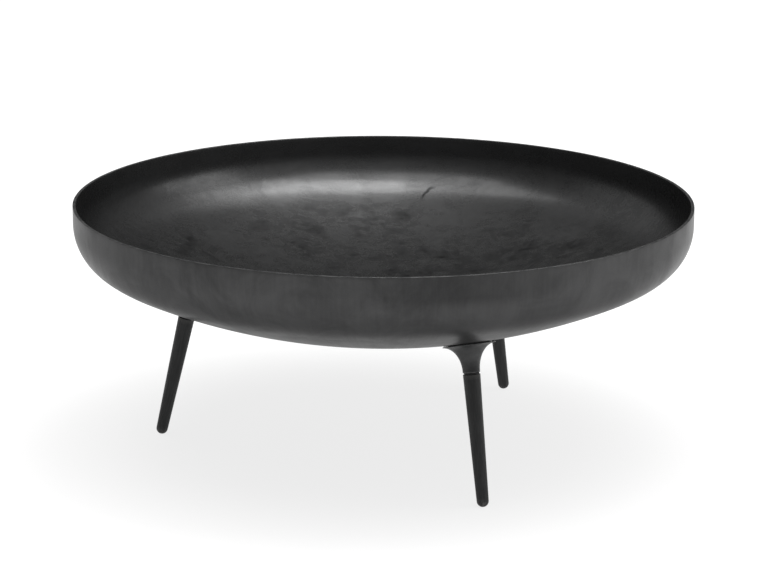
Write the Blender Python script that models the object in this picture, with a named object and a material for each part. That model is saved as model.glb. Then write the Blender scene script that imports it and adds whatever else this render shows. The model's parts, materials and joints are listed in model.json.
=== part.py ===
"""Fire bowl: a dished steel bowl, one metre across, on three splayed legs that screw on.

Frame: metres, +Z up, origin on the floor under the middle of the bowl. One leg points to -Y.

Each leg is the end of a stack of parts on one sloping axis. From the bowl down they are a
threaded boss welded to the bowl, a stud screwed into the boss, a thin gasket and a flared
cast collar that both follow the underside of the bowl, a plain washer, and the tapered leg.
The leg screws on to the stud and clamps the collar. Backing it off a few turns levels the bowl.
"""

from math import asin, cos, hypot, pi, radians, sin, sqrt

import bmesh
import bpy
from mathutils import Matrix, Vector

# Gap kept between neighbouring pieces, which on the real object touch or are in thread.
GAP = 0.0003

# Bowl: a pressed dished end. All radii are those of the outer surface.
HEIGHT = 0.4075
BOWL_RADIUS = 0.500
WALL = 0.005
FLANGE = 0.031
KNUCKLE_RADIUS = 0.081
CROWN_RADIUS = 1.034
RIM_EASE = 0.0007
BOWL_SEGMENTS = 96
KNUCKLE_STEPS = 6
CROWN_STEPS = 8

# Legs: three, a third of a turn apart, splayed from the vertical, each with a ball end.
LEG_AZIMUTHS = {"front": radians(-90), "right": radians(30), "left": radians(150)}
SPLAY = radians(12.73)
FOOT_CIRCLE = 0.3669
FOOT_RADIUS = 0.0094
LEG_LENGTH = 0.206
LEG_TOP_RADIUS = 0.0135
LEG_EASE = 0.0006
LEG_SEGMENTS = 20
BALL_STEPS = 5

# M12 stud, and the plain holes that stand for the threads it runs in.
STUD_RADIUS = 0.006
STUD_LENGTH = 0.070
STUD_CHAMFER = 0.001
STUD_SEGMENTS = 16
HOLE_RADIUS = STUD_RADIUS + GAP
DRILL_POINT = 0.5
BOSS_HOLE_DEPTH = 0.0105
LEG_HOLE_DEPTH = 0.0285

# Boss, with the weld fillet round its upper end.
BOSS_RADIUS = 0.013
BOSS_HEIGHT = 0.013
WELD_LEG = 0.003
WELD_TOE = 0.0006
BOSS_SEGMENTS = 24

# Plain washer in the groove between the collar and the leg.
WASHER_RADIUS = 0.012
WASHER_HOLE_RADIUS = 0.0065
WASHER_THICKNESS = 0.002
WASHER_SEGMENTS = 24
GROOVE = WASHER_THICKNESS + 2 * GAP

# Collar: a trumpet whose lip follows the underside of the bowl, with a recess for the boss.
LIP_RADIUS = 0.041
LIP_THICKNESS = 0.0015
NECK_RADIUS = 0.0135
NECK_STRAIGHT = 0.002
NECK_EASE = 0.0006
RECESS_MOUTH_RADIUS = 0.018
RECESS_FLOOR_RADIUS = 0.015
RECESS_CLEARANCE = 0.0014
FLARE_STEPS = 9
COLLAR_SEGMENTS = 28

# Gasket between the collar's flat rim and the bowl, set in a little from the lip.
GASKET_THICKNESS = 0.001
GASKET_SET_IN = 0.0015
GASKET_HOLE_RADIUS = 0.0195

CROWN_CENTRE = HEIGHT - FLANGE + sqrt(
    (CROWN_RADIUS - KNUCKLE_RADIUS) ** 2 - (BOWL_RADIUS - KNUCKLE_RADIUS) ** 2
)
CROWN_EDGE_ANGLE = asin((BOWL_RADIUS - KNUCKLE_RADIUS) / (CROWN_RADIUS - KNUCKLE_RADIUS))

SHARP_ANGLE = radians(35)


def clear_scene():
    for obj in list(bpy.data.objects):
        bpy.data.objects.remove(obj)


def material(name, colour, roughness, metallic):
    made = bpy.data.materials.new(name)
    made.use_nodes = True
    shader = made.node_tree.nodes["Principled BSDF"]
    shader.inputs["Base Color"].default_value = (*colour, 1)
    shader.inputs["Roughness"].default_value = roughness
    shader.inputs["Metallic"].default_value = metallic
    return made


def turned(name, profile, segments, finish, ring_shaped=False):
    """A body turned round its own Z axis.

    The profile lists (radius, height) along the section, and a radius of 0 is a point on the
    axis. A height may be a function of x and y, for an edge that follows the bowl. A ring
    shaped body has a hole through it, so its section closes on itself.
    """
    body = bmesh.new()
    rings = []
    for radius, height in profile:
        count = segments if radius else 1
        ring = []
        for i in range(count):
            x = radius * cos(2 * pi * i / segments)
            y = radius * sin(2 * pi * i / segments)
            ring.append(body.verts.new((x, y, height(x, y) if callable(height) else height)))
        rings.append(ring)
    pairs = list(zip(rings, rings[1:]))
    if ring_shaped:
        pairs.append((rings[-1], rings[0]))
    for upper, lower in pairs:
        for i in range(segments):
            corners = [upper[i % len(upper)], upper[(i + 1) % len(upper)]]
            corners += [lower[(i + 1) % len(lower)], lower[i % len(lower)]]
            body.faces.new(dict.fromkeys(corners))
    bmesh.ops.recalc_face_normals(body, faces=body.faces)
    mesh = bpy.data.meshes.new(name)
    body.to_mesh(mesh)
    body.free()
    mesh.shade_smooth()
    mesh.set_sharp_from_angle(angle=SHARP_ANGLE)
    mesh.materials.append(finish)
    obj = bpy.data.objects.new(name, mesh)
    bpy.context.scene.collection.objects.link(obj)
    return obj


def dished_section(inset):
    """Points of the bowl's section from beside the axis up to the flange, inset from outside."""
    points = []
    for step in range(1, CROWN_STEPS + 1):
        angle = CROWN_EDGE_ANGLE * step / CROWN_STEPS
        radius = CROWN_RADIUS - inset
        points.append((radius * sin(angle), CROWN_CENTRE - radius * cos(angle)))
    for step in range(1, KNUCKLE_STEPS + 1):
        angle = CROWN_EDGE_ANGLE + (pi / 2 - CROWN_EDGE_ANGLE) * step / KNUCKLE_STEPS
        radius = KNUCKLE_RADIUS - inset
        across = BOWL_RADIUS - KNUCKLE_RADIUS + radius * sin(angle)
        points.append((across, HEIGHT - FLANGE - radius * cos(angle)))
    return points


def make_bowl(finish):
    bottom = CROWN_CENTRE - CROWN_RADIUS
    rim = [
        (BOWL_RADIUS, HEIGHT - RIM_EASE),
        (BOWL_RADIUS - RIM_EASE, HEIGHT),
        (BOWL_RADIUS - WALL + RIM_EASE, HEIGHT),
        (BOWL_RADIUS - WALL, HEIGHT - RIM_EASE),
    ]
    profile = [(0, bottom), *dished_section(0), *rim]
    profile += [*reversed(dished_section(WALL)), (0, bottom + WALL)]
    return turned("bowl", profile, BOWL_SEGMENTS, finish)


def leg_frame(azimuth):
    """Frame of one leg: origin on its top face, Z up its axis to the bowl, X away from the bowl."""
    outward = Vector((cos(azimuth), sin(azimuth), 0))
    upward = Vector((0, 0, 1))
    z_axis = upward * cos(SPLAY) - outward * sin(SPLAY)
    x_axis = outward * cos(SPLAY) + upward * sin(SPLAY)
    y_axis = z_axis.cross(x_axis)
    ball = outward * FOOT_CIRCLE + upward * FOOT_RADIUS
    origin = ball + z_axis * (LEG_LENGTH - FOOT_RADIUS)
    turn = Matrix((x_axis, y_axis, z_axis)).transposed()
    return Matrix.Translation(origin) @ turn.to_4x4()


# The middle of the crown's sphere, as each leg's frame sees it.
CROWN_FROM_LEG = leg_frame(0).inverted() @ Vector((0, 0, CROWN_CENTRE))


def underside(gap):
    """Height in a leg's frame, as a function of x and y, of a surface this far below the bowl."""

    def height(x, y):
        across = (x - CROWN_FROM_LEG.x) ** 2 + (y - CROWN_FROM_LEG.y) ** 2
        return CROWN_FROM_LEG.z - sqrt((CROWN_RADIUS + gap) ** 2 - across)

    return height


BOSS_FOOT = underside(GAP)(0, 0) - BOSS_HEIGHT
GASKET_TOP = underside(GAP)
GASKET_BOTTOM = underside(GAP + GASKET_THICKNESS)
COLLAR_TOP = underside(2 * GAP + GASKET_THICKNESS)


def make_boss(name, finish):
    weld_radius = BOSS_RADIUS + WELD_LEG
    surface = underside(GAP)
    hole_end = BOSS_FOOT + BOSS_HOLE_DEPTH + GAP
    profile = [
        (0, surface),
        (weld_radius, surface),
        (weld_radius, lambda x, y: surface(x, y) - WELD_TOE),
        (BOSS_RADIUS, lambda x, y: surface(x, y) - WELD_LEG),
        (BOSS_RADIUS, BOSS_FOOT + STUD_CHAMFER),
        (BOSS_RADIUS - STUD_CHAMFER, BOSS_FOOT),
        (HOLE_RADIUS, BOSS_FOOT),
        (HOLE_RADIUS, hole_end),
        (0, hole_end),
    ]
    return turned(name, profile, BOSS_SEGMENTS, finish)


def make_stud(name, finish):
    top = BOSS_FOOT + BOSS_HOLE_DEPTH
    bottom = top - STUD_LENGTH
    tip_radius = STUD_RADIUS - STUD_CHAMFER
    profile = [
        (0, top),
        (tip_radius, top),
        (STUD_RADIUS, top - STUD_CHAMFER),
        (STUD_RADIUS, bottom + STUD_CHAMFER),
        (tip_radius, bottom),
        (0, bottom),
    ]
    return turned(name, profile, STUD_SEGMENTS, finish)


def make_gasket(name, finish):
    outer = LIP_RADIUS - GASKET_SET_IN
    profile = [
        (GASKET_HOLE_RADIUS, GASKET_TOP),
        (outer, GASKET_TOP),
        (outer, GASKET_BOTTOM),
        (GASKET_HOLE_RADIUS, GASKET_BOTTOM),
    ]
    return turned(name, profile, COLLAR_SEGMENTS, finish, ring_shaped=True)


def flare(angle):
    """One ring of the trumpet: a quarter of an ellipse from the neck, at 0, out to the lip."""
    start = GROOVE + NECK_STRAIGHT
    radius = LIP_RADIUS - (LIP_RADIUS - NECK_RADIUS) * cos(angle)

    def height(x, y):
        reach = LIP_RADIUS / hypot(x, y)
        lip = COLLAR_TOP(x * reach, y * reach) - LIP_THICKNESS
        return start + (lip - start) * sin(angle)

    return radius, height


def make_collar(name, finish):
    recess_floor = BOSS_FOOT - RECESS_CLEARANCE
    drill_cone = (RECESS_FLOOR_RADIUS - WASHER_HOLE_RADIUS) * DRILL_POINT / 2
    profile = [flare(pi / 2 * step / FLARE_STEPS) for step in range(FLARE_STEPS + 1)]
    profile += [
        (LIP_RADIUS, COLLAR_TOP),
        (RECESS_MOUTH_RADIUS, COLLAR_TOP),
        (RECESS_FLOOR_RADIUS, recess_floor),
        (WASHER_HOLE_RADIUS, recess_floor - drill_cone),
        (WASHER_HOLE_RADIUS, GROOVE),
        (NECK_RADIUS - NECK_EASE, GROOVE),
        (NECK_RADIUS, GROOVE + NECK_EASE),
    ]
    return turned(name, profile, COLLAR_SEGMENTS, finish, ring_shaped=True)


def make_washer(name, finish):
    profile = [
        (WASHER_HOLE_RADIUS, GAP),
        (WASHER_HOLE_RADIUS, GAP + WASHER_THICKNESS),
        (WASHER_RADIUS, GAP + WASHER_THICKNESS),
        (WASHER_RADIUS, GAP),
    ]
    return turned(name, profile, WASHER_SEGMENTS, finish, ring_shaped=True)


def make_leg(name, finish):
    ball_centre = FOOT_RADIUS - LEG_LENGTH
    profile = [
        (0, -LEG_HOLE_DEPTH - HOLE_RADIUS * DRILL_POINT),
        (HOLE_RADIUS, -LEG_HOLE_DEPTH),
        (HOLE_RADIUS, 0),
        (LEG_TOP_RADIUS - LEG_EASE, 0),
        (LEG_TOP_RADIUS, -LEG_EASE),
    ]
    for step in range(BALL_STEPS):
        angle = pi / 2 * step / BALL_STEPS
        profile.append((FOOT_RADIUS * cos(angle), ball_centre - FOOT_RADIUS * sin(angle)))
    profile.append((0, -LEG_LENGTH))
    return turned(name, profile, LEG_SEGMENTS, finish)


def make_leg_stack(side, azimuth, finishes):
    """The pieces of one leg, all on an empty that holds the leg's own axis."""
    axis = bpy.data.objects.new(f"{side}_leg_axis", None)
    bpy.context.scene.collection.objects.link(axis)
    axis.matrix_world = leg_frame(azimuth)
    pieces = [
        make_boss(f"{side}_weld_boss", finishes["fastener"]),
        make_stud(f"{side}_stud", finishes["fastener"]),
        make_gasket(f"{side}_gasket", finishes["gasket"]),
        make_collar(f"{side}_collar", finishes["collar"]),
        make_washer(f"{side}_washer", finishes["fastener"]),
        make_leg(f"{side}_leg", finishes["leg"]),
    ]
    for piece in pieces:
        piece.parent = axis


def main():
    clear_scene()
    finishes = {
        "bowl": material("blackened_steel", (0.060, 0.062, 0.062), 0.45, 0.8),
        "collar": material("cast_iron", (0.055, 0.056, 0.056), 0.6, 0.7),
        "leg": material("black_paint", (0.026, 0.027, 0.027), 0.5, 0.2),
        "fastener": material("oiled_steel", (0.16, 0.16, 0.16), 0.4, 1.0),
        "gasket": material("graphite_gasket", (0.012, 0.012, 0.012), 0.9, 0.0),
    }
    make_bowl(finishes["bowl"])
    for side, azimuth in LEG_AZIMUTHS.items():
        make_leg_stack(side, azimuth, finishes)


main()
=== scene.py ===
"""Looks of the fire bowl: fine meshes, procedural finishes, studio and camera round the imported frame.

Frame: metres, +Z up, floor at z = 0, one leg towards -Y. The bowl takes its size from its node's
box, and the pieces of each leg take their place from the joint that the leg screws on by.
"""

import json
from math import asin, atan2, cos, hypot, pi, radians, sin, sqrt
from typing import NamedTuple

import bmesh
import bpy
from mathutils import Matrix, Vector, noise

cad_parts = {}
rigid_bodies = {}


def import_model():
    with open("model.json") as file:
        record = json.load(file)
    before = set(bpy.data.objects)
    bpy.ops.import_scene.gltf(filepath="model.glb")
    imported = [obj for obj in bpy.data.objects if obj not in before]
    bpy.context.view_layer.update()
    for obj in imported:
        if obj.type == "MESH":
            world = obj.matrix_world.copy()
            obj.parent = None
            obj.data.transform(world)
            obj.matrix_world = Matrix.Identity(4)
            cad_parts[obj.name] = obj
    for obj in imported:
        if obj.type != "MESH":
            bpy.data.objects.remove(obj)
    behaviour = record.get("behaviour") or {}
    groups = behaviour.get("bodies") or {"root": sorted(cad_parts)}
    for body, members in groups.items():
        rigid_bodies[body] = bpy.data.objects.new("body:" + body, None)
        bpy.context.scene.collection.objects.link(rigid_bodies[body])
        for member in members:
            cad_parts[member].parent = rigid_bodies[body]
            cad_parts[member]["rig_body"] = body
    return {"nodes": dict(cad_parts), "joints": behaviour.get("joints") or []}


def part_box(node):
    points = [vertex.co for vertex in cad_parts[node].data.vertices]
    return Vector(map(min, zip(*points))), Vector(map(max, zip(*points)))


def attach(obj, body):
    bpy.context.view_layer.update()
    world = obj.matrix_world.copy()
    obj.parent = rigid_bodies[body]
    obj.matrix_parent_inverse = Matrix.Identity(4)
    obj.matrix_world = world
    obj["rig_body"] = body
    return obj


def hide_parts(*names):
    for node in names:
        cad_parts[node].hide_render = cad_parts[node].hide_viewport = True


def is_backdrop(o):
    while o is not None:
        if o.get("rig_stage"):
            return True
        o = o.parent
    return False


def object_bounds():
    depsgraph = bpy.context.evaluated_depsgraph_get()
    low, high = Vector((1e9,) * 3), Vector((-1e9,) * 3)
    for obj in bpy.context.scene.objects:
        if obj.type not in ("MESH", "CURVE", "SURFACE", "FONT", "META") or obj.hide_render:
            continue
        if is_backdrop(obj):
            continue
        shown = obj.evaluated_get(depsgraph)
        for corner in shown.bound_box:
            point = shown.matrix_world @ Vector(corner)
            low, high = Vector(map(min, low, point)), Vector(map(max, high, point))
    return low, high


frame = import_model()
cad_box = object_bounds()

JOINTS = {joint["name"]: joint for joint in frame["joints"]}
SIDES = ("front", "right", "left")

# Bowl: a pressed dished end. Radii are those of the outer surface.
BOWL_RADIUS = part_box("bowl")[1].x
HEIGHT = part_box("bowl")[1].z
WALL = 0.005
FLANGE = 0.031
KNUCKLE_RADIUS = 0.081
CROWN_RADIUS = 1.034
RIM_EASE = 0.0008
BOWL_SEGMENTS = 288

# Its section in steps: the crown, the easing from crown to knuckle, the knuckle and the flange.
CROWN_STEPS = 52
EASING_LENGTH = 0.050
EASING_STEPS = 16
KNUCKLE_STEPS = 18
FLANGE_STEPS = 5
HALVINGS = 40

# Unevenness that pressing leaves in the plate.
WRINKLE_DEPTH = 0.00040
WRINKLE_PITCH = 0.055
WRINKLE_STRETCH = 4
SWELL_DEPTH = 0.0005
SWELL_PITCH = 0.30

# Gap between pieces that touch, and the steps in which their small edges are rounded.
GAP = 0.0003
EASE_STEPS = 4

# Tapered leg with a ball end.
LEG_LENGTH = 0.206
LEG_TOP_RADIUS = 0.0135
FOOT_RADIUS = 0.0094
LEG_EASE = 0.0007
LEG_HOLE_DEPTH = 0.0285
SHANK_STEPS = 24
FOOT_STEPS = 14
LEG_SEGMENTS = 72

# M12 stud with its thread, and the holes that it runs in.
STUD_RADIUS = 0.006
STUD_LENGTH = 0.070
THREAD_PITCH = 0.00175
THREAD_DEPTH = 0.00095
THREAD_CORE = STUD_RADIUS - THREAD_DEPTH
THREAD_SEGMENTS = 40
HOLE_RADIUS = STUD_RADIUS + GAP
DRILL_POINT = 0.5

# Rows of points in one turn of the thread: (share of the pitch, share of the depth).
THREAD_ROWS = ((0.0, 0.0), (0.125, 0.0), (0.4375, 1.0), (0.6875, 1.0))

# At its ends the thread runs out over this many pitches, down to this share of its height.
RUNOUT_PITCHES = 2
RUNOUT_HEIGHT = 0.35

# Weld boss and its fillet weld. The toe is the share of the weld's leg that its thin edge has.
BOSS_RADIUS = 0.013
BOSS_HEIGHT = 0.013
BOSS_HOLE_DEPTH = 0.0105
BOSS_CHAMFER = 0.001
WELD_LEG = 0.003
WELD_TOE = 0.1
WELD_STEPS = 6
WELD_RIPPLES = 26
WELD_RIPPLE_DEPTH = 0.00022
BOSS_SEGMENTS = 156

# Plain washer in the groove between the collar and the leg.
WASHER_RADIUS = 0.012
WASHER_HOLE_RADIUS = 0.0065
WASHER_THICKNESS = 0.002
WASHER_EASE = 0.0003
WASHER_EASE_STEPS = 3
GROOVE = WASHER_THICKNESS + 2 * GAP

# Collar: a trumpet whose lip follows the underside of the bowl. The cut is how far the middle of
# the lip's rounded edge lies in from its corner.
LIP_RADIUS = 0.041
LIP_THICKNESS = 0.0015
LIP_EASE = 0.0005
LIP_CUT = 0.3 * LIP_EASE
LIP_WEAR = 0.2
NECK_RADIUS = 0.0135
NECK_STRAIGHT = 0.002
NECK_EASE = 0.0007
RECESS_MOUTH_RADIUS = 0.018
RECESS_FLOOR_RADIUS = 0.015
RECESS_CLEARANCE = 0.0014
FLARE_STEPS = 36
COLLAR_SEGMENTS = 120

# Gasket between the collar and the bowl.
GASKET_THICKNESS = 0.001
GASKET_SET_IN = 0.0015
GASKET_HOLE_RADIUS = 0.0195

CROWN_CENTRE = HEIGHT - FLANGE + sqrt(
    (CROWN_RADIUS - KNUCKLE_RADIUS) ** 2 - (BOWL_RADIUS - KNUCKLE_RADIUS) ** 2
)
CROWN_EDGE_ANGLE = asin((BOWL_RADIUS - KNUCKLE_RADIUS) / (CROWN_RADIUS - KNUCKLE_RADIUS))

# Edges that turn by more than this stay sharp in the shading.
SHARP_ANGLE = radians(38)

# Camera: the photograph's viewpoint.
CAMERA_AZIMUTH = radians(-114.95)
CAMERA_REACH = 4.6724
CAMERA_HEIGHT = 1.4961
CAMERA_PITCH = radians(14.821)
CAMERA_YAW = radians(0.017)
CAMERA_ROLL = radians(0.26)
LENS = 139.3
SENSOR_WIDTH = 36
CLIP_END = 200
VIEW_TURN = CAMERA_AZIMUTH + pi / 2


# ---------------------------------------------------------------- turned bodies


class Ring(NamedTuple):
    """One ring of a turned body's section.

    The height is a number, or a function of x and y for an edge that follows the bowl. The
    faces from this ring to the next have the finish of this slot. Wear is 1 on a rubbed edge.
    """

    radius: float
    height: object
    wear: float = 0.0
    slot: int = 0


def turned(name, rings, segments, finishes, ring_shaped=False):
    """A body turned round its own Z axis; a ring shaped one has a hole through it.

    A ring of no radius is a single point.
    """
    body = bmesh.new()
    wear = body.verts.layers.float.new("wear")
    circles = []
    for ring in rings:
        count = segments if ring.radius else 1
        circle = []
        for i in range(count):
            x = ring.radius * cos(2 * pi * i / segments)
            y = ring.radius * sin(2 * pi * i / segments)
            height = ring.height(x, y) if callable(ring.height) else ring.height
            vert = body.verts.new((x, y, height))
            vert[wear] = ring.wear
            circle.append(vert)
        circles.append(circle)
    spans = list(zip(circles, circles[1:], rings))
    if ring_shaped:
        spans.append((circles[-1], circles[0], rings[-1]))
    for upper, lower, ring in spans:
        for i in range(segments):
            corners = [upper[i % len(upper)], upper[(i + 1) % len(upper)]]
            corners += [lower[(i + 1) % len(lower)], lower[i % len(lower)]]
            face = body.faces.new(dict.fromkeys(corners))
            face.material_index = ring.slot
    return finished_object(name, body, finishes)


def finished_object(name, body, finishes):
    """Turns the faces outwards, shades the body smooth between its sharp edges and links it.

    Each vertex keeps its place in the piece's own frame, which the finishes' patterns follow.
    """
    bmesh.ops.recalc_face_normals(body, faces=body.faces)
    own_place = body.verts.layers.float_vector.new("own_place")
    for vert in body.verts:
        vert[own_place] = vert.co
    mesh = bpy.data.meshes.new(name)
    body.to_mesh(mesh)
    body.free()
    mesh.shade_smooth()
    mesh.set_sharp_from_angle(angle=SHARP_ANGLE)
    for finish in finishes:
        mesh.materials.append(finish)
    piece = bpy.data.objects.new(name, mesh)
    bpy.context.scene.collection.objects.link(piece)
    return piece


def arc(centre, radius, start, end, steps, wear=0.0, slot=0):
    """Rings along an arc of the section, its angle measured from straight out, upwards."""
    rings = []
    for step in range(steps + 1):
        angle = start + (end - start) * step / steps
        across = centre[0] + radius * cos(angle)
        rings.append(Ring(across, centre[1] + radius * sin(angle), wear, slot))
    return rings


def stand_in(piece, node):
    """Lets a piece stand in for a CAD node: it rides with the node's body, and the node is hidden."""
    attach(piece, frame["nodes"][node]["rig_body"])
    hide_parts(node)


# ---------------------------------------------------------------- bowl

OUTSIDE, RIM, INSIDE = range(3)


def plate_path(crown, knuckle, crown_length):
    """Places along a dished plate, (across, up) from its middle, until it stands upright.

    After the crown its curvature grows evenly into the knuckle's, over the easing's length.
    """
    steps = [(crown_length / CROWN_STEPS, 1 / crown)] * CROWN_STEPS
    for step in range(EASING_STEPS):
        share = (step + 0.5) / EASING_STEPS
        steps.append((EASING_LENGTH / EASING_STEPS, (1 - share) / crown + share / knuckle))
    turn_left = pi / 2 - sum(length * curvature for length, curvature in steps)
    steps += [(turn_left * knuckle / KNUCKLE_STEPS, 1 / knuckle)] * KNUCKLE_STEPS
    place = Vector((0, 0))
    turn = 0.0
    for length, curvature in steps:
        turn += length * curvature / 2
        place += Vector((length * cos(turn), length * sin(turn)))
        turn += length * curvature / 2
        yield place.copy()


def fitted_crown_length(crown, knuckle, reach):
    """Length of crown that brings the plate upright at this radius, by halving."""
    longest = crown * CROWN_EDGE_ANGLE
    shortest = longest - EASING_LENGTH
    for _ in range(HALVINGS):
        length = (shortest + longest) / 2
        *_, upright = plate_path(crown, knuckle, length)
        if upright.x < reach:
            shortest = length
        else:
            longest = length
    return shortest


def dished_section(inset, slot):
    """Rings from beside the bowl's axis up to the end of the flange, inset from the outside."""
    crown = CROWN_RADIUS - inset
    knuckle = KNUCKLE_RADIUS - inset
    reach = BOWL_RADIUS - inset
    rings = []
    for place in plate_path(crown, knuckle, fitted_crown_length(crown, knuckle, reach)):
        rings.append(Ring(place.x, CROWN_CENTRE - crown + place.y, 0.0, slot))
    upright = rings[-1].height
    straight = HEIGHT - RIM_EASE - upright
    for step in range(1, FLANGE_STEPS):
        rings.append(Ring(reach, upright + straight * step / FLANGE_STEPS, 0.0, slot))
    return rings


def press_marks(place):
    """How deep the pressed surface lies under its true shape here."""
    round_bowl = place.xy.length
    if not round_bowl:
        return 0.0
    direction = Vector((place.x, place.y, 0)) / round_bowl
    around = direction * BOWL_RADIUS / WRINKLE_PITCH
    around.z = place.z / (WRINKLE_PITCH * WRINKLE_STRETCH)
    wrinkle = 0.5 + 0.5 * noise.noise(around)
    knuckle_start = BOWL_RADIUS - KNUCKLE_RADIUS
    near_knuckle = min(max((round_bowl - knuckle_start + WRINKLE_PITCH) / KNUCKLE_RADIUS, 0), 1)
    swell = 0.5 + 0.5 * noise.noise(place / SWELL_PITCH)
    return near_knuckle * (WRINKLE_DEPTH * wrinkle + SWELL_DEPTH * swell)


def make_bowl(finishes):
    """The bowl: out along its underside, over the rim, and back in along its inside."""
    bottom = CROWN_CENTRE - CROWN_RADIUS
    outer = (BOWL_RADIUS - RIM_EASE, HEIGHT - RIM_EASE)
    inner = (BOWL_RADIUS - WALL + RIM_EASE, HEIGHT - RIM_EASE)
    rings = [Ring(0, bottom, 0.0, OUTSIDE), *dished_section(0, OUTSIDE)]
    rings += arc(outer, RIM_EASE, 0, pi / 2, EASE_STEPS, wear=1.0, slot=RIM)
    rings += arc(inner, RIM_EASE, pi / 2, pi, EASE_STEPS, wear=1.0, slot=RIM)[:-1]
    rings.append(Ring(BOWL_RADIUS - WALL, HEIGHT - RIM_EASE, 1.0, INSIDE))
    rings += reversed(dished_section(WALL, INSIDE))
    rings.append(Ring(0, bottom + WALL))
    bowl = turned("bowl_shell", rings, BOWL_SEGMENTS, finishes)
    for vert in bowl.data.vertices:
        sideways = Vector((vert.co.x, vert.co.y, 0))
        if sideways.length:
            vert.co -= sideways.normalized() * press_marks(vert.co)
    stand_in(bowl, "bowl")


# ---------------------------------------------------------------- legs and what holds them


def leg_frame(side):
    """Frame of one leg: origin on its top face, Z up its axis to the bowl, X away from the bowl."""
    screw = JOINTS[f"{side}_leg_turn"]
    origin = Vector(screw["pos_m"])
    z_axis = -Vector(screw["axis"]).normalized()
    y_axis = Vector((0, 0, 1)).cross(Vector((origin.x, origin.y, 0))).normalized()
    x_axis = y_axis.cross(z_axis)
    turn = Matrix((x_axis, y_axis, z_axis)).transposed()
    return Matrix.Translation(origin) @ turn.to_4x4()


# The middle of the crown's sphere, as each leg's frame sees it.
CROWN_FROM_LEG = leg_frame("front").inverted() @ Vector((0, 0, CROWN_CENTRE))


def underside(gap):
    """Height in a leg's frame, as a function of x and y, of a surface this far below the bowl."""

    def height(x, y):
        across = (x - CROWN_FROM_LEG.x) ** 2 + (y - CROWN_FROM_LEG.y) ** 2
        return CROWN_FROM_LEG.z - sqrt((CROWN_RADIUS + gap) ** 2 - across)

    return height


def below(surface, drop):
    """A surface this far under another one, measured along the leg."""
    return lambda x, y: surface(x, y) - drop


BOSS_FOOT = underside(GAP)(0, 0) - BOSS_HEIGHT
GASKET_TOP = underside(GAP)
GASKET_BOTTOM = underside(GAP + GASKET_THICKNESS)
COLLAR_TOP = underside(2 * GAP + GASKET_THICKNESS)
STUD_TOP = BOSS_FOOT + BOSS_HOLE_DEPTH
STUD_BOTTOM = STUD_TOP - STUD_LENGTH


def make_boss(name, finishes):
    """Boss with its thread hole, and the fillet weld round its upper end."""
    surface = underside(GAP)
    hole_end = STUD_TOP + GAP
    rings = [Ring(0, surface, slot=1), Ring(BOSS_RADIUS + WELD_LEG, surface, slot=1)]
    for step in range(1, WELD_STEPS):
        angle = pi / 2 * step / WELD_STEPS
        drop = WELD_LEG * (WELD_TOE + (1 - WELD_TOE) * sin(angle))
        rings.append(Ring(BOSS_RADIUS + WELD_LEG * cos(angle), below(surface, drop), slot=1))
    rings += [
        Ring(BOSS_RADIUS, below(surface, WELD_LEG)),
        Ring(BOSS_RADIUS, BOSS_FOOT + BOSS_CHAMFER, 1.0),
        Ring(BOSS_RADIUS - BOSS_CHAMFER, BOSS_FOOT, 1.0),
        Ring(HOLE_RADIUS + GAP, BOSS_FOOT),
        Ring(HOLE_RADIUS, BOSS_FOOT + GAP),
        Ring(HOLE_RADIUS, hole_end),
        Ring(0, hole_end),
    ]
    boss = turned(name, rings, BOSS_SEGMENTS, finishes)
    ripple_weld(boss)
    return boss


def ripple_weld(boss):
    """Draws the weld in between its ripples, most at the middle of its face."""
    for vert in boss.data.vertices:
        out = hypot(vert.co.x, vert.co.y)
        share = (out - BOSS_RADIUS) / WELD_LEG
        if 0 < share < 1:
            beat = abs(sin(WELD_RIPPLES * atan2(vert.co.y, vert.co.x)))
            shrink = 1 - WELD_RIPPLE_DEPTH * beat * sin(pi * share) / out
            vert.co.x *= shrink
            vert.co.y *= shrink


def on_circle(radius, index, height):
    """One of the points round the stud."""
    angle = 2 * pi * index / THREAD_SEGMENTS
    return radius * cos(angle), radius * sin(angle), height


def thread_radius(height, depth):
    """Radius at this height, this share of the thread's depth under its crest."""
    from_end = min(height - STUD_BOTTOM, STUD_TOP - height)
    full = min(max(from_end / (RUNOUT_PITCHES * THREAD_PITCH), RUNOUT_HEIGHT), 1)
    return THREAD_CORE + THREAD_DEPTH * (1 - depth) * full


def thread_grid(body):
    """Rows of points round the stud, each of which climbs one pitch.

    The thread is two turns shorter than the stud, and the stud's ends are plain.
    """
    wear = body.verts.layers.float.new("wear")
    turns = int(STUD_LENGTH / THREAD_PITCH) - 2
    start = STUD_BOTTOM + (STUD_LENGTH - (turns + 1) * THREAD_PITCH) / 2
    grid = []
    for row in range(turns * len(THREAD_ROWS) + 1):
        turn, step = divmod(row, len(THREAD_ROWS))
        share, depth = THREAD_ROWS[step]
        line = []
        for i in range(THREAD_SEGMENTS):
            height = start + THREAD_PITCH * (turn + share + i / THREAD_SEGMENTS)
            vert = body.verts.new(on_circle(thread_radius(height, depth), i, height))
            vert[wear] = 1 - depth
            line.append(vert)
        grid.append(line)
    return grid


def close_stud_end(body, height, edge):
    """Flat end of the stud, and the faces from its rim to the thread. Returns the rim."""
    rim = [body.verts.new(on_circle(THREAD_CORE, i, height)) for i in range(THREAD_SEGMENTS)]
    for i in range(THREAD_SEGMENTS - 1):
        body.faces.new((edge[i], edge[i + 1], rim[i + 1], rim[i]))
    body.faces.new(rim)
    return rim


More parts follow.
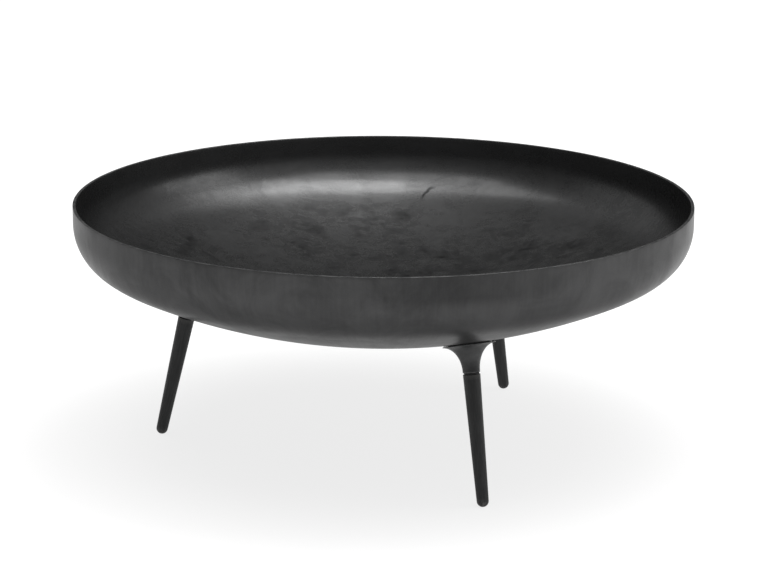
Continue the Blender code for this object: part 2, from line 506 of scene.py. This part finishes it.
def make_stud(name, finishes):
    """Threaded rod. Each row's end meets the start of the same row one turn further up."""
    body = bmesh.new()
    grid = thread_grid(body)
    a_turn = len(THREAD_ROWS)
    for lower, upper in zip(grid, grid[1:]):
        for i in range(THREAD_SEGMENTS - 1):
            body.faces.new((lower[i], lower[i + 1], upper[i + 1], upper[i]))
    for row in range(len(grid) - 1 - a_turn):
        over = row + a_turn
        body.faces.new((grid[row][-1], grid[over][0], grid[over + 1][0], grid[row + 1][-1]))
    rim = close_stud_end(body, STUD_BOTTOM, grid[0])
    thread_start = [line[0] for line in grid[: a_turn + 1]]
    body.faces.new([grid[0][-1], rim[-1], rim[0], *thread_start])
    rim = close_stud_end(body, STUD_TOP, grid[-1])
    thread_end = [line[-1] for line in grid[-a_turn - 1 :]]
    body.faces.new([*thread_end, rim[-1], rim[0], grid[-1][0]])
    return finished_object(name, body, finishes)


def make_gasket(name, finishes):
    """Flat ring between the collar and the bowl, which it follows."""
    outer = LIP_RADIUS - GASKET_SET_IN
    rings = [
        Ring(GASKET_HOLE_RADIUS, GASKET_TOP),
        Ring(outer, GASKET_TOP),
        Ring(outer, GASKET_BOTTOM),
        Ring(GASKET_HOLE_RADIUS, GASKET_BOTTOM),
    ]
    return turned(name, rings, COLLAR_SEGMENTS, finishes, ring_shaped=True)


def flare(angle):
    """One ring of the trumpet: a quarter of an ellipse from the neck, at 0, out to the lip."""
    start = GROOVE + NECK_STRAIGHT
    radius = LIP_RADIUS - (LIP_RADIUS - NECK_RADIUS) * cos(angle)

    def height(x, y):
        reach = LIP_RADIUS / hypot(x, y)
        lip = COLLAR_TOP(x * reach, y * reach) - LIP_THICKNESS
        return start + (lip - start) * sin(angle)

    return Ring(radius, height)


def make_collar(name, finishes):
    """Trumpet with a rounded lip, and a recess that clears the boss."""
    recess_floor = BOSS_FOOT - RECESS_CLEARANCE
    drill_cone = (RECESS_FLOOR_RADIUS - WASHER_HOLE_RADIUS) * DRILL_POINT / 2
    rings = [flare(pi / 2 * step / FLARE_STEPS) for step in range(FLARE_STEPS)]
    rings[-1] = rings[-1]._replace(wear=LIP_WEAR)
    rings += [
        Ring(LIP_RADIUS - LIP_CUT, below(COLLAR_TOP, LIP_THICKNESS - LIP_CUT), LIP_WEAR),
        Ring(LIP_RADIUS, below(COLLAR_TOP, LIP_THICKNESS - LIP_EASE), LIP_WEAR),
        Ring(LIP_RADIUS, below(COLLAR_TOP, LIP_EASE), LIP_WEAR),
        Ring(LIP_RADIUS - LIP_CUT, below(COLLAR_TOP, LIP_CUT), LIP_WEAR),
        Ring(LIP_RADIUS - LIP_EASE, COLLAR_TOP, LIP_WEAR),
        Ring(RECESS_MOUTH_RADIUS, COLLAR_TOP),
        Ring(RECESS_FLOOR_RADIUS, recess_floor),
        Ring(WASHER_HOLE_RADIUS, recess_floor - drill_cone),
        Ring(WASHER_HOLE_RADIUS, GROOVE),
    ]
    neck_edge = (NECK_RADIUS - NECK_EASE, GROOVE + NECK_EASE)
    rings += arc(neck_edge, NECK_EASE, -pi / 2, 0, EASE_STEPS, wear=0.5)
    return turned(name, rings, COLLAR_SEGMENTS, finishes, ring_shaped=True)


def make_washer(name, finishes):
    """Plain washer: bevelled at its hole, rounded at its outer edges."""
    foot = GAP
    head = GAP + WASHER_THICKNESS
    inner = WASHER_HOLE_RADIUS + WASHER_EASE
    rings = [
        Ring(inner, foot),
        Ring(WASHER_HOLE_RADIUS, foot + WASHER_EASE),
        Ring(WASHER_HOLE_RADIUS, head - WASHER_EASE),
        Ring(inner, head),
    ]
    outer = WASHER_RADIUS - WASHER_EASE
    rings += arc((outer, head - WASHER_EASE), WASHER_EASE, pi / 2, 0, WASHER_EASE_STEPS)
    rings += arc((outer, foot + WASHER_EASE), WASHER_EASE, 0, -pi / 2, WASHER_EASE_STEPS)
    return turned(name, rings, LEG_SEGMENTS, finishes, ring_shaped=True)


def make_leg(name, finishes):
    """Tapered leg with a drilled hole for the stud and a ball at its foot."""
    ball_centre = FOOT_RADIUS - LEG_LENGTH
    rings = [
        Ring(0, -LEG_HOLE_DEPTH - HOLE_RADIUS * DRILL_POINT),
        Ring(HOLE_RADIUS, -LEG_HOLE_DEPTH),
        Ring(HOLE_RADIUS, -GAP),
        Ring(HOLE_RADIUS + GAP, 0),
    ]
    rings += arc((LEG_TOP_RADIUS - LEG_EASE, -LEG_EASE), LEG_EASE, pi / 2, 0, EASE_STEPS, wear=1.0)
    for step in range(1, SHANK_STEPS):
        share = step / SHANK_STEPS
        radius = LEG_TOP_RADIUS + (FOOT_RADIUS - LEG_TOP_RADIUS) * share
        rings.append(Ring(radius, -LEG_EASE + (ball_centre + LEG_EASE) * share))
    ball = arc((0, ball_centre), FOOT_RADIUS, 0, -pi / 2, FOOT_STEPS)
    rings += [*ball[:-1], Ring(0, -LEG_LENGTH, 1.0)]
    return turned(name, rings, LEG_SEGMENTS, finishes)


def make_leg_stack(side, looks):
    """The pieces of one leg, each placed in the leg's own frame and riding with its CAD node."""
    place = leg_frame(side)
    makers = {
        "weld_boss": (make_boss, [looks["fastener"], looks["weld"]]),
        "stud": (make_stud, [looks["fastener"]]),
        "gasket": (make_gasket, [looks["gasket"]]),
        "collar": (make_collar, [looks["collar"]]),
        "washer": (make_washer, [looks["fastener"]]),
        "leg": (make_leg, [looks["leg"]]),
    }
    for part, (make, finishes) in makers.items():
        node = f"{side}_{part}"
        piece = make(f"{node}_fine", finishes)
        piece.data.transform(place)
        stand_in(piece, node)


# ---------------------------------------------------------------- finishes


class Nodes:
    """A node tree and a short way to write its nodes. The patterns and sums return an output socket."""

    def __init__(self, tree):
        self.tree = tree

    def node(self, kind, **settings):
        made = self.tree.nodes.new(kind)
        for name, value in settings.items():
            setattr(made, name, value)
        return made

    def feed(self, socket, value):
        """Links an output into a socket, or sets the socket's own value."""
        if isinstance(value, bpy.types.NodeSocket):
            self.tree.links.new(value, socket)
        else:
            socket.default_value = value

    def filled(self, kind, values, **settings):
        """A new node with these values in its first sockets, in their order."""
        made = self.node(kind, **settings)
        for socket, value in zip(made.inputs, values):
            self.feed(socket, value)
        return made

    def maths(self, operation, *values):
        return self.filled("ShaderNodeMath", values, operation=operation).outputs["Value"]

    def vector_maths(self, operation, *values):
        return self.filled("ShaderNodeVectorMath", values, operation=operation).outputs["Vector"]

    def vector_measure(self, operation, *values):
        return self.filled("ShaderNodeVectorMath", values, operation=operation).outputs["Value"]

    def rescale(self, value, low, high, to_low=0.0, to_high=1.0):
        """Smooth step from one range to another, held at both ends."""
        values = (value, low, high, to_low, to_high)
        made = self.filled("ShaderNodeMapRange", values, interpolation_type="SMOOTHSTEP")
        return made.outputs["Result"]

    def seen(self):
        """1 where the camera sees it straight, 0 in reflections and in the light that it gives."""
        return self.node("ShaderNodeLightPath").outputs["Is Camera Ray"]


class Look(Nodes):
    """A material. Its patterns follow each vertex's place in the piece's own frame."""

    def __init__(self, name):
        self.material = bpy.data.materials.new(name)
        self.material.use_nodes = True
        super().__init__(self.material.node_tree)
        self.shader = self.tree.nodes["Principled BSDF"]
        self.place = self.attribute("own_place").outputs["Vector"]

    def attribute(self, name):
        return self.node("ShaderNodeAttribute", attribute_name=name)

    def set(self, **values):
        """Shader inputs by name, with _ for a space."""
        for name, value in values.items():
            self.feed(self.shader.inputs[name.replace("_", " ")], value)

    def stretched(self, place, factors):
        return self.vector_maths("MULTIPLY", place, factors)

    def rolled(self, across, along):
        """Places stretched along and across the way that the plate was rolled."""
        made = self.node("ShaderNodeVectorRotate", rotation_type="Z_AXIS")
        self.feed(made.inputs["Vector"], self.place)
        made.inputs["Angle"].default_value = -ROLLING_TURN
        return self.stretched(made.outputs["Vector"], (across, along, 1))

    def around(self, radius):
        """Places pushed out to a cylinder round Z, so that a pattern runs straight up its wall."""
        out = self.vector_maths("NORMALIZE", self.stretched(self.place, (1, 1, 0)))
        out = self.stretched(out, (radius, radius, radius))
        return self.vector_maths("ADD", out, self.stretched(self.place, (0, 0, 1)))

    def from_axis(self, x=0.0, y=0.0):
        """Distance from an upright line: the Z axis, or the line through x and y."""
        return self.vector_measure("DISTANCE", self.stretched(self.place, (1, 1, 0)), (x, y, 0))

    def height(self):
        """How far up the piece's own Z axis."""
        return self.filled("ShaderNodeSeparateXYZ", [self.place]).outputs["Z"]

    def noise(self, place, scale, detail=2.0, roughness=0.5, distortion=0.0):
        """Cloudy pattern round 0.5: its scale, its detail, how rough that is, how much it swirls."""
        made = self.node("ShaderNodeTexNoise")
        self.feed(made.inputs["Vector"], place)
        made.inputs["Scale"].default_value = scale
        made.inputs["Detail"].default_value = detail
        made.inputs["Roughness"].default_value = roughness
        made.inputs["Distortion"].default_value = distortion
        return made.outputs["Fac"]

    def cells(self, place, scale):
        """Distance to the middle of the nearest of scattered cells."""
        made = self.node("ShaderNodeTexVoronoi")
        self.feed(made.inputs["Vector"], place)
        made.inputs["Scale"].default_value = scale
        return made.outputs["Distance"]

    def swayed(self, tone, pattern, amount):
        """The tone, moved by this much of the pattern's swing round 0.5."""
        return self.maths("MULTIPLY_ADD", self.maths("SUBTRACT", pattern, 0.5), amount, tone)

    def blend(self, share, first, second):
        """From the first colour to the second; each is three numbers or an output."""
        made = self.node("ShaderNodeMix", data_type="RGBA")
        self.feed(made.inputs["Factor"], share)
        self.feed(made.inputs["A"], (*first, 1) if isinstance(first, tuple) else first)
        self.feed(made.inputs["B"], (*second, 1) if isinstance(second, tuple) else second)
        return made.outputs["Result"]

    def worn(self):
        """The wear that the mesh carries on its rubbed edges."""
        return self.attribute("wear").outputs["Fac"]

    def bump(self, height, depth, under=None):
        """Relief of this depth, on top of another bump's if there is one under it."""
        made = self.node("ShaderNodeBump")
        made.inputs["Distance"].default_value = depth
        self.feed(made.inputs["Height"], height)
        if under is not None:
            self.feed(made.inputs["Normal"], under)
        return made.outputs["Normal"]


# The plate was rolled along the line that +Y makes when it is turned by this much.
ROLLING_TURN = radians(-25)

# A hooked stroke of painted dark reflection on the knuckle: the part of a wavering ring that is near a
# point.
HOOK_CENTRE = (0.2676, 0.3611)
HOOK_RADIUS = 0.022
HOOK_WAVER = 0.012
HOOK_STROKE = (0.0035, 0.0005)
HOOK_MIDDLE = (0.2601, 0.3818)
HOOK_REACH = (0.022, 0.008)

# How much of its full strength the blackened steel's grazing reflection keeps.
OUTSIDE_EDGE_TINT = (0.62, 0.62, 0.62, 1)
INSIDE_EDGE_TINT = (0.4, 0.4, 0.4, 1)


def steel_outside():
    """Blackened pressed steel: soft streaks up the wall, cloudy scale, fine grain."""
    look = Look("blackened_steel_outside")
    wall = look.around(BOWL_RADIUS)
    streaks = look.noise(look.stretched(wall, (1, 1, 0.12)), 120, 4, 0.65, 0.3)
    clouds = look.noise(look.place, 13, 7, 0.66, 0.9)
    grain = look.noise(look.place, 900, 2, 0.6)
    tone = look.maths("MULTIPLY", look.rescale(streaks, 0.3, 0.7), 0.25)
    tone = look.maths("MULTIPLY_ADD", look.rescale(clouds, 0.3, 0.7), 0.75, tone)
    tone = look.swayed(tone, grain, 0.4)
    look.set(
        Base_Color=look.blend(tone, (0.0425, 0.0425, 0.043), (0.0655, 0.0655, 0.066)),
        Metallic=0.8,
        Roughness=look.rescale(tone, 0.1, 0.9, 0.36, 0.30),
        Specular_Tint=OUTSIDE_EDGE_TINT,
        Normal=look.bump(grain, 0.00006),
    )
    return look.material


def painted_hook_reflection(look, mottle):
    """1 on the stroke of the painted hooked reflection, 0 off it; the mottling makes the stroke waver."""
    ring = look.swayed(look.from_axis(*HOOK_CENTRE), mottle, HOOK_WAVER)
    off_stroke = look.maths("ABSOLUTE", look.maths("SUBTRACT", ring, HOOK_RADIUS))
    near = look.rescale(look.from_axis(*HOOK_MIDDLE), *HOOK_REACH)
    return look.maths("MULTIPLY", look.rescale(off_stroke, *HOOK_STROKE), near)


def steel_inside():
    """The same steel inside the bowl, smoother, its floor mottled with clouds and blotches of scale."""
    look = Look("blackened_steel_inside")
    clouds = look.noise(look.rolled(1, 0.6), 11, 5, 0.6, 0.5)
    mottle = look.noise(look.rolled(0.75, 1), 52, 7, 0.70, 0.6)
    blots = look.noise(look.rolled(0.8, 1), 30, 5, 0.66, 0.7)
    wipes = look.noise(look.rolled(0.2, 1), 80, 5, 0.65, 0.8)
    swirl = look.cells(look.place, 9)
    arcs = look.maths("SINE", look.maths("MULTIPLY", swirl, 110))
    arcs = look.maths("MULTIPLY", arcs, look.rescale(swirl, 0.5, 0.2))
    grain = look.noise(look.place, 900, 2, 0.6)
    middle = look.rescale(look.from_axis(), 0.46, 0.39, 0.12, 1.0)
    blotch = look.maths("MULTIPLY", look.rescale(blots, 0.40, 0.75), look.rescale(clouds, 0.66, 0.38))
    blotch = look.swayed(blotch, mottle, 2.4)
    tone = look.swayed(0.53, clouds, 0.5)
    tone = look.maths("MULTIPLY_ADD", blotch, look.maths("MULTIPLY", middle, -0.40), tone)
    tone = look.swayed(tone, wipes, 0.38)
    tone = look.maths("MULTIPLY_ADD", arcs, 0.015, tone)
    # Painted dark reflection of a ripple: the hooked stroke darkens the tone.
    tone = look.maths("MULTIPLY_ADD", painted_hook_reflection(look, mottle), -0.45, tone)
    tone = look.swayed(tone, grain, 0.25)
    look.set(
        Base_Color=look.blend(tone, (0.010, 0.0101, 0.0103), (0.126, 0.1265, 0.127)),
        Metallic=0.83,
        Roughness=look.rescale(tone, 0.0, 1.0, 0.34, 0.20),
        Specular_Tint=INSIDE_EDGE_TINT,
        Normal=look.bump(grain, 0.00004),
    )
    return look.material


def steel_rim():
    """The sawn and eased rim, rubbed lighter, with marks that run round it."""
    look = Look("rubbed_steel_rim")
    polar = look.noise(look.stretched(look.around(BOWL_RADIUS), (1, 1, 30)), 60, 3, 0.6)
    grain = look.noise(look.place, 1400, 2, 0.6)
    rubbed = look.maths("MULTIPLY", look.worn(), look.rescale(polar, 0.35, 0.65))
    look.set(
        Base_Color=look.blend(rubbed, (0.030, 0.0305, 0.031), (0.075, 0.075, 0.075)),
        Metallic=0.85,
        Roughness=look.rescale(polar, 0.3, 0.7, 0.5, 0.38),
        Normal=look.bump(grain, 0.00005),
    )
    return look.material


def cast_iron():
    """Blackened casting: fine sand texture, painted shade that darkens it towards the neck, rubbed on its
    edges.
    """
    look = Look("blackened_cast_iron")
    sand = look.noise(look.place, 620, 3, 0.6)
    lumps = look.noise(look.place, 90, 3, 0.5, 0.4)
    rubbed = look.maths("MULTIPLY", look.worn(), look.rescale(lumps, 0.4, 0.65))
    tone = look.swayed(lumps, sand, 0.8)
    base = look.blend(tone, (0.041, 0.0415, 0.042), (0.068, 0.0685, 0.069))
    # Painted shade: the colour darkens towards the neck, where the trumpet narrows above the groove.
    neck = look.rescale(look.height(), 0.030, 0.006, 0.0, 0.55)
    base = look.blend(neck, base, (0.016, 0.0162, 0.0165))
    look.set(
        Base_Color=look.blend(rubbed, base, (0.15, 0.15, 0.15)),
        Metallic=0.7,
        Roughness=look.rescale(tone, 0.2, 0.8, 0.5, 0.4),
        Normal=look.bump(sand, 0.00010, look.bump(lumps, 0.0002)),
    )
    return look.material


def leg_black():
    """Matte black leg: fine grain along it, rubbed at its top edge and scuffed at the foot."""
    look = Look("matte_black_leg")
    grain = look.noise(look.stretched(look.place, (1, 1, 0.045)), 620, 4, 0.65, 0.4)
    speckle = look.noise(look.place, 1100, 2, 0.6)
    foot = look.rescale(look.height(), 0.016 - LEG_LENGTH, 0.002 - LEG_LENGTH)
    scuffs = look.noise(look.stretched(look.place, (1, 1, 0.4)), 260, 4, 0.7)
    scuffed = look.maths("MULTIPLY", foot, look.rescale(scuffs, 0.45, 0.6))
    tone = look.swayed(grain, speckle, 0.5)
    base = look.blend(look.rescale(tone, 0.3, 0.75), (0.015, 0.0153, 0.0156), (0.0315, 0.0319, 0.0323))
    rubbed = look.maths("MAXIMUM", look.maths("MULTIPLY", look.worn(), 0.5), scuffed)
    look.set(
        Base_Color=look.blend(rubbed, base, (0.085, 0.083, 0.080)),
        Metallic=0.1,
        Specular_IOR_Level=0.3,
        Roughness=look.rescale(tone, 0.3, 0.7, 0.58, 0.46),
        Normal=look.bump(grain, 0.00012, look.bump(speckle, 0.00004)),
    )
    return look.material


def oiled_steel():
    """Black oxide on turned steel, rubbed brighter on the thread's crests and the edges."""
    look = Look("black_oxide_steel")
    film = look.noise(look.place, 150, 4, 0.6, 0.6)
    turning = look.noise(look.stretched(look.place, (1, 1, 14)), 240, 2, 0.5)
    rubbed = look.maths("MULTIPLY", look.worn(), look.rescale(film, 0.3, 0.6))
    base = look.blend(film, (0.018, 0.018, 0.019), (0.040, 0.040, 0.041))
    look.set(
        Base_Color=look.blend(rubbed, base, (0.16, 0.158, 0.155)),
        Metallic=0.9,
        Roughness=look.rescale(film, 0.3, 0.7, 0.5, 0.34),
        Normal=look.bump(turning, 0.00005),
    )
    return look.material


def weld_bead():
    """Fillet weld: straw and blue heat tint with dark scale."""
    look = Look("weld_bead")
    heat = look.noise(look.place, 180, 3, 0.6, 0.5)
    scale = look.noise(look.place, 700, 3, 0.6)
    tint = look.blend(look.rescale(heat, 0.35, 0.65), (0.10, 0.085, 0.06), (0.05, 0.06, 0.085))
    look.set(
        Base_Color=look.blend(look.rescale(scale, 0.45, 0.6), tint, (0.03, 0.03, 0.03)),
        Metallic=0.9,
        Roughness=look.rescale(scale, 0.3, 0.7, 0.35, 0.6),
        Normal=look.bump(scale, 0.00012),
    )
    return look.material


def graphite_gasket():
    """Compressed fibre with graphite: matte, flecked."""
    look = Look("graphite_gasket")
    fibres = look.noise(look.stretched(look.place, (1, 0.2, 1)), 900, 3, 0.7, 1.0)
    flecks = look.noise(look.place, 1500, 1, 0.5)
    tone = look.maths("MULTIPLY_ADD", look.rescale(flecks, 0.6, 0.7), 0.5, fibres)
    look.set(
        Base_Color=look.blend(tone, (0.014, 0.014, 0.014), (0.034, 0.034, 0.035)),
        Roughness=look.rescale(tone, 0.3, 1.0, 0.92, 0.72),
        Normal=look.bump(fibres, 0.00010),
    )
    return look.material


# ---------------------------------------------------------------- studio and camera

FLOOR_RADIUS = 60.0
FLOOR_SEGMENTS = 96
FLOOR_SHADE = 0.16

# Between these distances from the bowl's axis the floor's glow grows from its first value to its
# second: as the camera sees it, and as the steel reflects it.
# The weaker glow near the bowl is a painted shadow under it.
GLOW_GROWS = (0.3, 1.0)
SEEN_GLOW = (0.80, 1.03)
REFLECTED_GLOW = (0.60, 1.05)

# What else the steel reflects: a little less glow far away, more of it along one way, and a painted
# shadow, a dark patch in front of the bowl and to the right.
GLOW_FADES = (1.1, 2.6)
FADED_BY = 0.08
LIFT_WAY = (0.50, 0.40, 0)
LIFT = (-0.08, 0.15)
PATCH_MIDDLE = (0.62, -1.45, 0)
PATCH_EDGE = (0.95, 0.15)
PATCH_DEPTH = 0.84

SKY_SHADE = 0.14

# Glows of the surroundings: the way to the middle, its strength, and how near to it the glow ends.
SKY_GLOWS = (
    ((0.25, -0.30, 0.92), 0.39, 0.1),
    ((-0.76, 0.62, 0.16), 0.54, 0.6),
)

# Softboxes over the bowl and a scrim in front of them: name, place, width, depth and radiance.
OVERHEAD_LIGHTS = (
    ("softbox", (0.34, 0.12, 2.6), 1.2, 1.47, 4.9),
    ("far_softbox", (0.55, 1.25, 2.6), 1.3, 0.8, 1.9),
    ("right_softbox", (1.65, 0.1, 2.6), 1.5, 1.9, 2.0),
    ("scrim", (0.0, -0.68, 2.65), 3.3, 2.76, 1.7),
)
OVERHEAD_TURN = radians(-10)


def seen_from_camera(x, y, z):
    """A place given to the right of the bowl, behind it and above the floor, as the camera sees it."""
    return Matrix.Rotation(VIEW_TURN, 3, "Z") @ Vector((x, y, z))


def reflected_glow(look):
    """The floor's glow as the steel reflects it, which gives the outer wall its shading."""
    from_bowl = look.from_axis()
    glow = look.rescale(from_bowl, *GLOW_GROWS, *REFLECTED_GLOW)
    glow = look.maths("SUBTRACT", glow, look.rescale(from_bowl, *GLOW_FADES, 0, FADED_BY))
    along = look.vector_measure("DOT_PRODUCT", look.place, seen_from_camera(*LIFT_WAY))
    glow = look.maths("ADD", glow, look.rescale(along, -1, 1, *LIFT))
    from_patch = look.from_axis(*seen_from_camera(*PATCH_MIDDLE).xy)
    # Painted shadow: the dark patch takes glow away.
    return look.maths("SUBTRACT", glow, look.rescale(from_patch, *PATCH_EDGE, 0, PATCH_DEPTH))


def make_floor():
    """Pale floor whose glow is plain to the camera and patterned in what the steel reflects."""
    look = Look("pale_floor")
    # Painted shadow: the glow that the camera sees is weaker near the bowl.
    plain = look.rescale(look.from_axis(), *GLOW_GROWS, *SEEN_GLOW)
    look.set(
        Base_Color=(FLOOR_SHADE, FLOOR_SHADE, FLOOR_SHADE, 1),
        Roughness=0.9,
        Specular_IOR_Level=0.0,
        Emission_Color=(1, 1, 1, 1),
        Emission_Strength=look.rescale(look.seen(), 0, 1, reflected_glow(look), plain),
    )
    body = bmesh.new()
    bmesh.ops.create_circle(body, cap_ends=True, segments=FLOOR_SEGMENTS, radius=FLOOR_RADIUS)
    floor = finished_object("floor", body, [look.material])
    floor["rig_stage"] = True


def make_sky():
    """Surroundings: a glow high up in front and one low down at the left, dim elsewhere.

    The camera sees them plain white, so the floor meets a backdrop of its own tone.
    """
    world = bpy.data.worlds.new("studio")
    world.use_nodes = True
    bpy.context.scene.world = world
    sky = Nodes(world.node_tree)
    direction = sky.node("ShaderNodeTexCoord").outputs["Generated"]
    strength = SKY_SHADE
    for middle, glow, edge in SKY_GLOWS:
        towards = sky.vector_measure("DOT_PRODUCT", direction, seen_from_camera(*middle).normalized())
        strength = sky.maths("ADD", strength, sky.rescale(towards, edge, 1, 0, glow))
    background = sky.tree.nodes["Background"]
    background.inputs["Color"].default_value = (1, 1, 1, 1)
    sky.feed(background.inputs["Strength"], sky.maths("MAXIMUM", strength, sky.seen()))


def make_softbox(name, place, aim, width, height, radiance):
    """Rectangular light whose face has this radiance, 1 being the white of the picture."""
    light = bpy.data.lights.new(name, "AREA")
    light.shape = "RECTANGLE"
    light.size = width
    light.size_y = height
    light.energy = radiance * pi * width * height
    softbox = bpy.data.objects.new(name, light)
    softbox.location = seen_from_camera(*place)
    beam = seen_from_camera(*aim) - softbox.location
    softbox.rotation_euler = beam.to_track_quat("-Z", "Y").to_euler()
    softbox.visible_camera = False
    bpy.context.scene.collection.objects.link(softbox)
    return softbox


def make_lights():
    """The overhead lights, facing straight down, and an upright softbox at the right."""
    for name, place, width, depth, radiance in OVERHEAD_LIGHTS:
        overhead = make_softbox(name, place, (place[0], place[1], 0), width, depth, radiance)
        overhead.rotation_euler = (0, 0, VIEW_TURN + OVERHEAD_TURN)
    make_softbox("side_softbox", (2.4, -0.2, 1.6), (0, -0.2, 1.6), 1.6, 1.8, 1.7)


def make_camera():
    """The photograph's camera. The Standard view keeps the tones as they are rendered."""
    camera = bpy.data.cameras.new("camera")
    camera.lens = LENS
    camera.sensor_width = SENSOR_WIDTH
    camera.clip_end = CLIP_END
    obj = bpy.data.objects.new("camera", camera)
    bpy.context.scene.collection.objects.link(obj)
    place = Vector((CAMERA_REACH * cos(CAMERA_AZIMUTH), CAMERA_REACH * sin(CAMERA_AZIMUTH), CAMERA_HEIGHT))
    turn = Matrix.Rotation(VIEW_TURN - CAMERA_YAW, 4, "Z")
    tilt = Matrix.Rotation(pi / 2 - CAMERA_PITCH, 4, "X")
    roll = Matrix.Rotation(CAMERA_ROLL, 4, "Z")
    obj.matrix_world = Matrix.Translation(place) @ turn @ tilt @ roll
    bpy.context.scene.camera = obj
    bpy.context.scene.view_settings.view_transform = "Standard"


# ---------------------------------------------------------------- the scene

looks = {
    "collar": cast_iron(),
    "leg": leg_black(),
    "fastener": oiled_steel(),
    "weld": weld_bead(),
    "gasket": graphite_gasket(),
}
make_bowl([steel_outside(), steel_rim(), steel_inside()])
for side in SIDES:
    make_leg_stack(side, looks)
make_floor()
make_sky()
make_lights()
make_camera()

boxes = {"cad": cad_box, "visual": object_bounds()}
{name: [list(low), list(high)] for name, (low, high) in boxes.items()}
